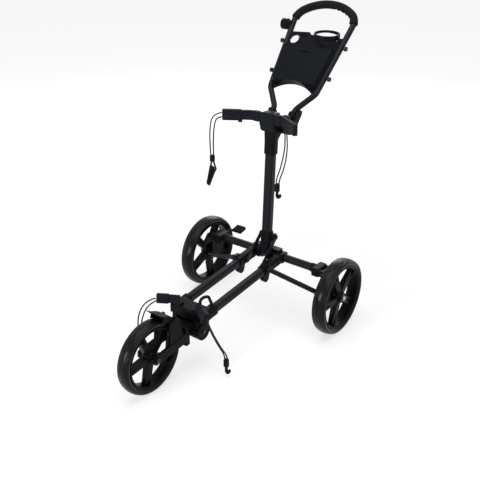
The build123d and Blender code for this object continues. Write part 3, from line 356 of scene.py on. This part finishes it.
for corner in cup_ring.data.vertices:
    behind = (1 - math.cos(math.atan2(corner.co.y, corner.co.x) - RING_SEAT)) / 2
    depth = ring_depth + (RING_REAR - ring_depth) * behind
    corner.co.z = corner.co.z * depth / ring_depth + RING_RISE * behind
cup_ring.data.transform(Matrix.Translation((ring_middle.x, ring_middle.y, ring_high.z)))
bpy.ops.object.shade_smooth_by_angle(angle=RING_CREASE)
cup_ring.data.materials.append(console_abs)
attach(cup_ring, "handle")
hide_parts("cup_holder")
bpy.ops.object.select_all(action="DESELECT")


# Grip: a sleeve of closed-cell foam, blown on over the bent hoop of the handle.
# It is dull and slightly mottled, with finger hollows along the inside of one half
# and a rolled bead at each end.
PIVOT_BEHIND_AXLE, PIVOT_HEIGHT = 0.040, 0.752
HANDLE_RAKE = math.radians(41.9)
HOOP_UP = 0.430  # from the handle's pivot to the centres of the corner bends
HOOP_HALF = 0.127
HOOP_RISE = 0.081
CORNER_RADIUS = 0.060
CORNER_SIDE = HOOP_HALF - CORNER_RADIUS
CROWN_RADIUS = ((CORNER_SIDE ** 2 + HOOP_RISE ** 2 - CORNER_RADIUS ** 2)
                / (2 * (HOOP_RISE - CORNER_RADIUS)))
CROWN_DROP = CROWN_RADIUS - HOOP_RISE
CROWN_TURN = math.atan2(CORNER_SIDE, CROWN_DROP)
GRIP_END = math.radians(84)
CORNER_TURN = GRIP_END - CROWN_TURN
GRIP_HALF = CROWN_RADIUS * CROWN_TURN + CORNER_RADIUS * CORNER_TURN
GRIP_RADIUS = 0.0155
GRIP_WALL = 0.0041
GRIP_SIDES = 40
GRIP_CORNER_STEPS, GRIP_CROWN_STEPS = 40, 150
SKIN_MARGIN = 0.001  # a point up to this far below the outside belongs to the skin
FINGERS = 5
FINGER_START = 0.017
FINGER_PITCH = 0.0235
FINGER_DEPTH = 0.0028
FINGER_POWER = 1.5  # how closely a hollow keeps to the inside of the hoop
ROLL_LENGTH, ROLL_DEPTH = 0.005, 0.0030
BEAD_AT, BEAD_WIDTH, BEAD_HEIGHT = 0.007, 0.003, 0.0012
CELL_MM, CELL_DEPTH_MM = 1.3, 0.2  # coarser than real cells, so that they show
MOTTLE_MM = 14

axle_low, axle_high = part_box("stub_axle_left")
rear_axle_x = (axle_low.x + axle_high.x) / 2
handle_pivot = Vector((rear_axle_x - PIVOT_BEHIND_AXLE, 0.0, PIVOT_HEIGHT))
handle_up = Vector((-math.sin(HANDLE_RAKE), 0.0, math.cos(HANDLE_RAKE)))
handle_out = Vector((math.cos(HANDLE_RAKE), 0.0, math.sin(HANDLE_RAKE)))

foam = new_material("closed_cell_foam")
place = add(foam, "TexCoord", {}).outputs["Object"]
cells = add(foam, "TexVoronoi", {"Vector": place, "Scale": MM_PER_M / CELL_MM})
mottle = add(foam, "TexNoise", {"Vector": place, "Scale": MM_PER_M / MOTTLE_MM, "Detail": 5.0})
shade = add(foam, "Mix",
            {FACTOR: mottle.outputs["Fac"], FIRST: linear("#0d0e12"), SECOND: linear("#15161b")},
            data_type="RGBA")
relief = add(foam, "Bump",
             {"Strength": 0.7, "Distance": CELL_DEPTH_MM / MM_PER_M,
              "Height": cells.outputs["Distance"]})
gloss = add(foam, "MapRange", {"Value": mottle.outputs["Fac"], "To Min": 0.62, "To Max": 0.82})
shader = add(foam, "BsdfPrincipled",
             {"Base Color": shade.outputs[MIXED], "Roughness": gloss.outputs["Result"],
              "Normal": relief.outputs["Normal"], "Specular IOR Level": 0.08,
              "Sheen Weight": 0.02, "Sheen Roughness": 0.5})
add(foam, "OutputMaterial", {"Surface": shader.outputs["BSDF"]})


def on_hoop(x, y):
    """The nearest point of the hoop's middle line, and how far it is along it from the top."""
    turn = math.atan2(x, y + CROWN_DROP)
    if abs(turn) <= CROWN_TURN:
        up = CROWN_RADIUS * math.cos(turn) - CROWN_DROP
        return Vector((CROWN_RADIUS * math.sin(turn), up, 0.0)), CROWN_RADIUS * turn
    turn = math.atan2(abs(x) - CORNER_SIDE, y)
    side = CORNER_SIDE + CORNER_RADIUS * math.sin(turn)
    run = CROWN_RADIUS * CROWN_TURN + CORNER_RADIUS * (turn - CROWN_TURN)
    point = Vector((math.copysign(side, x), CORNER_RADIUS * math.cos(turn), 0.0))
    return point, math.copysign(run, x)


bpy.ops.mesh.primitive_circle_add(vertices=GRIP_SIDES, radius=GRIP_RADIUS)
grip = bpy.context.object
grip.name = "foam_grip"
for corner in grip.data.vertices:
    reach = CORNER_RADIUS + corner.co.x
    corner.co = (-CORNER_SIDE - reach * math.sin(GRIP_END), reach * math.cos(GRIP_END),
                 corner.co.y)
bpy.ops.object.mode_set(mode="EDIT")
bpy.ops.mesh.select_all(action="SELECT")
for steps, angle, centre in ((GRIP_CORNER_STEPS, CORNER_TURN, (-CORNER_SIDE, 0, 0)),
                             (GRIP_CROWN_STEPS, 2 * CROWN_TURN, (0, -CROWN_DROP, 0)),
                             (GRIP_CORNER_STEPS, CORNER_TURN, (CORNER_SIDE, 0, 0))):
    bpy.ops.mesh.spin(steps=steps, angle=angle, center=centre, axis=(0, 0, 1))
close_spin()
wall = grip.modifiers.new("wall", "SOLIDIFY")
wall.thickness = GRIP_WALL
wall.offset = -1.0
bpy.ops.object.modifier_apply(modifier="wall")
for corner in grip.data.vertices:
    middle, run = on_hoop(corner.co.x, corner.co.y)
    spoke = corner.co - middle
    if spoke.length > GRIP_RADIUS - SKIN_MARGIN:
        inside = Vector((0.0, -CROWN_DROP, 0.0)) - middle
        inward = max(0.0, spoke.dot(inside.normalized()) / spoke.length)
        finger = (run - FINGER_START) / FINGER_PITCH
        hollow = math.sin(math.pi * finger) ** 2 if 0 < finger < FINGERS else 0.0
        hollow *= inward ** FINGER_POWER * FINGER_DEPTH
        to_end = GRIP_HALF - abs(run)
        roll = max(0.0, 1 - to_end / ROLL_LENGTH) ** 2 * ROLL_DEPTH
        bead = math.exp(-((to_end - BEAD_AT) / BEAD_WIDTH) ** 2) * BEAD_HEIGHT
        corner.co = middle + spoke * (1 + (bead - roll - hollow) / GRIP_RADIUS)
to_handle = Matrix((Vector((0, 1, 0)), handle_up, handle_out)).transposed().to_4x4()
to_handle.translation = handle_pivot + handle_up * HOOP_UP
grip.data.transform(to_handle)
bpy.ops.object.shade_smooth()
grip.data.materials.append(foam)
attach(grip, "handle")
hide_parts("grip")
bpy.ops.object.select_all(action="DESELECT")


# Elastic cords: rubber strands in a braided polyester sleeve, one loop on each cradle arm.
# Each loop leaves the arm's tip, folds round the bar of its hook and goes back,
# and the weight of the hook pulls it down.
CORD_DIAMETER = 0.005
CORD_MM = 400  # about one loop's length, which the UV map runs along once
BRAID_MM = 2.5  # coarser than the real braid, so that it shows
BRAID_STRANDS = 6.0
BRAID_DEPTH_MM = 0.3
# Each route's x runs forward from the rear axle.
cord_routes = {
    "cord_upper_right": [
        (0.089, -0.1615, 0.793), (0.107, -0.174, 0.790), (0.121, -0.186, 0.772),
        (0.122, -0.193, 0.712), (0.120, -0.192, 0.650), (0.119, -0.190, 0.620),
        (0.119, -0.178, 0.620), (0.120, -0.177, 0.650), (0.121, -0.176, 0.712),
        (0.114, -0.174, 0.762), (0.103, -0.169, 0.776), (0.089, -0.1615, 0.777)],
    "cord_upper_left": [
        (0.044, 0.092, 0.7674), (0.042, 0.098, 0.720), (0.042, 0.095, 0.660),
        (0.043, 0.083, 0.606), (0.046, 0.070, 0.572), (0.046, 0.067, 0.540),
        (0.046, 0.055, 0.540), (0.046, 0.057, 0.572), (0.042, 0.068, 0.606),
        (0.039, 0.081, 0.665), (0.036, 0.085, 0.720), (0.037, 0.080, 0.7674)],
    "cord_lower_left": [
        (0.529, 0.115, 0.241), (0.534, 0.130, 0.222), (0.518, 0.142, 0.170),
        (0.499, 0.154, 0.122), (0.480, 0.162, 0.086), (0.480, 0.165, 0.056),
        (0.480, 0.153, 0.056), (0.480, 0.151, 0.086), (0.497, 0.141, 0.122),
        (0.514, 0.129, 0.170), (0.526, 0.124, 0.205), (0.529, 0.115, 0.227)],
    "cord_lower_right": [
        (0.529, -0.115, 0.236), (0.556, -0.123, 0.238), (0.586, -0.127, 0.224),
        (0.604, -0.128, 0.196), (0.611, -0.126, 0.160), (0.611, -0.124, 0.125),
        (0.611, -0.112, 0.125), (0.610, -0.111, 0.160), (0.600, -0.114, 0.190),
        (0.580, -0.117, 0.212), (0.556, -0.119, 0.222), (0.529, -0.115, 0.225)],
}

braid = new_material("braided_polyester_cord")
place = add(braid, "TexCoord", {}).outputs["UV"]
turned = add(braid, "Mapping",
             {"Vector": place, "Scale": (CORD_MM / BRAID_MM, BRAID_STRANDS, 1.0)})
flip = add(braid, "Mapping", {"Vector": turned.outputs["Vector"], "Scale": (1.0, -1.0, 1.0)})
left_lay = add(braid, "TexWave", {"Vector": turned.outputs["Vector"], "Scale": 0.5},
               bands_direction="DIAGONAL")
right_lay = add(braid, "TexWave", {"Vector": flip.outputs["Vector"], "Scale": 0.5},
                bands_direction="DIAGONAL")
plait = add(braid, "Math", {0: left_lay.outputs["Fac"], 1: right_lay.outputs["Fac"]},
            operation="MAXIMUM")
shade = add(braid, "Mix",
            {FACTOR: plait.outputs["Value"], FIRST: linear("#0b0b0d"), SECOND: linear("#1d1e22")},
            data_type="RGBA")
relief = add(braid, "Bump",
             {"Strength": 0.8, "Distance": BRAID_DEPTH_MM / MM_PER_M,
              "Height": plait.outputs["Value"]})
shader = add(braid, "BsdfPrincipled",
             {"Base Color": shade.outputs[MIXED], "Roughness": 0.62,
              "Normal": relief.outputs["Normal"], "Specular IOR Level": 0.2})
add(braid, "OutputMaterial", {"Surface": shader.outputs["BSDF"]})

for name, route in cord_routes.items():
    body, hooks = ("mast", "hooks_upper") if "upper" in name else ("frame", "hooks_lower")
    line = bpy.data.curves.new(name + "_loop", "CURVE")
    line.dimensions = "3D"
    line.bevel_depth = CORD_DIAMETER / 2
    line.bevel_resolution = 4
    line.resolution_u = 12
    spline = line.splines.new("NURBS")
    spline.points.add(len(route) - 1)
    for point, (x, y, z) in zip(spline.points, route):
        point.co = (rear_axle_x + x, y, z, 1.0)
    spline.order_u = 3
    spline.use_endpoint_u = True
    loop = bpy.data.objects.new(name + "_loop", line)
    bpy.context.scene.collection.objects.link(loop)
    line.materials.append(braid)
    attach(loop, body)
    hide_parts(name)


# Floor: a wide sheet of pale studio paper, with a faint fibre.
# To the camera and in reflections it is lifted to white, a little more further away,
# and it keeps the cart's soft shadow.
FLOOR_SIDE = 60.0
FIBRE_MM = 3
LIFT_NEAR, LIFT_FAR = 0.65, 0.80
LIFT_START, LIFT_END = 0.8, 3.0
WHITE = (1.0, 1.0, 1.0, 1.0)


def background_rays(owner):
    """A socket that is 1 for the rays that show the background, from the eye, gloss or glass."""
    rays = add(owner, "LightPath", {})
    seen = add(owner, "Math",
               {0: rays.outputs["Is Camera Ray"], 1: rays.outputs["Is Glossy Ray"]},
               operation="MAXIMUM")
    seen = add(owner, "Math",
               {0: seen.outputs["Value"], 1: rays.outputs["Is Transmission Ray"]},
               operation="MAXIMUM")
    return seen.outputs["Value"]


floor_paper = new_material("studio_paper")
place = add(floor_paper, "TexCoord", {}).outputs["Object"]
fibre = add(floor_paper, "TexNoise",
            {"Vector": place, "Scale": MM_PER_M / FIBRE_MM, "Detail": 2.0})
shade = add(floor_paper, "Mix",
            {FACTOR: fibre.outputs["Fac"], FIRST: linear("#f7f7f7"), SECOND: linear("#fafafa")},
            data_type="RGBA")
seen = background_rays(floor_paper)
away = add(floor_paper, "VectorMath", {0: place}, operation="LENGTH")
sweep = add(floor_paper, "MapRange",
            {"Value": away.outputs["Value"], "From Min": LIFT_START, "From Max": LIFT_END,
             "To Min": LIFT_NEAR, "To Max": LIFT_FAR})
lift = add(floor_paper, "Math", {0: seen, 1: sweep.outputs["Result"]}, operation="MULTIPLY")
tone = add(floor_paper, "Mix",
           {FACTOR: seen, FIRST: shade.outputs[MIXED], SECOND: linear("#a9a9a9")},
           data_type="RGBA")
shader = add(floor_paper, "BsdfPrincipled",
             {"Base Color": tone.outputs[MIXED], "Roughness": 0.9, "Specular IOR Level": 0.0,
              "Emission Color": WHITE, "Emission Strength": lift.outputs["Value"]})
add(floor_paper, "OutputMaterial", {"Surface": shader.outputs["BSDF"]})
bpy.ops.mesh.primitive_plane_add(size=FLOOR_SIDE, location=(0, 0, 0))
floor = bpy.context.object
floor.name = "studio_floor"
floor.data.materials.append(floor_paper)
floor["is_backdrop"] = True


# Light: plain white, from a large soft lamp overhead, a softbox before the cart
# and weaker ones on its left and behind it, with a little fill from all round.
FILL_STRENGTH = 0.30
AIM_FORWARD, AIM_HEIGHT = 0.200, 0.450
aim = Vector((rear_axle_x + AIM_FORWARD, 0.0, AIM_HEIGHT))
world = bpy.data.worlds.new("studio")
bpy.context.scene.world = world
world.use_nodes = True
world.node_tree.nodes.clear()
power = add(world, "MapRange",
            {"Value": background_rays(world), "To Min": FILL_STRENGTH, "To Max": 1.0})
sky = add(world, "Background", {"Color": WHITE, "Strength": power.outputs["Result"]})
add(world, "OutputWorld", {"Surface": sky.outputs["Background"]})

lamps = {  # place, size in metres, power in watts
    "overhead": ((0.4, 0.2, 3.4), (3.0, 3.0), 75),
    "front_softbox": ((3.4, -0.9, 1.0), (0.9, 1.3), 55),
    "left_softbox": ((0.6, 3.4, 1.8), (1.2, 1.6), 24),
    "rear_softbox": ((-3.2, -1.8, 1.6), (1.2, 1.6), 26),
}
for name, (place, size, watts) in lamps.items():
    lamp = bpy.data.lights.new(name, "AREA")
    lamp.shape = "RECTANGLE"
    lamp.size, lamp.size_y = size
    lamp.energy = watts
    holder = bpy.data.objects.new(name, lamp)
    holder.location = place
    holder.rotation_euler = (aim - Vector(place)).to_track_quat("-Z", "Y").to_euler()
    bpy.context.scene.collection.objects.link(holder)


# Camera: stands ahead of the cart on its left and looks down on it a little,
# as far away and with the framing that the photograph has.
CAMERA_FORWARD, CAMERA_LEFT, CAMERA_HEIGHT = 2.0851, 1.4277, 1.5476
LENS_MM, SENSOR_MM = 54.18, 36.0
SHIFT_X, SHIFT_Y = 0.0030, -0.0431
camera_data = bpy.data.cameras.new("camera")
camera_data.sensor_width = SENSOR_MM
camera_data.lens = LENS_MM
camera_data.shift_x, camera_data.shift_y = SHIFT_X, SHIFT_Y
camera = bpy.data.objects.new("camera", camera_data)
camera.location = (rear_axle_x + CAMERA_FORWARD, CAMERA_LEFT, CAMERA_HEIGHT)
camera.rotation_euler = (aim - camera.location).to_track_quat("-Z", "Y").to_euler()
bpy.context.scene.collection.objects.link(camera)
bpy.context.scene.camera = camera
bpy.context.scene.view_settings.view_transform = "Standard"

low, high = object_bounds()
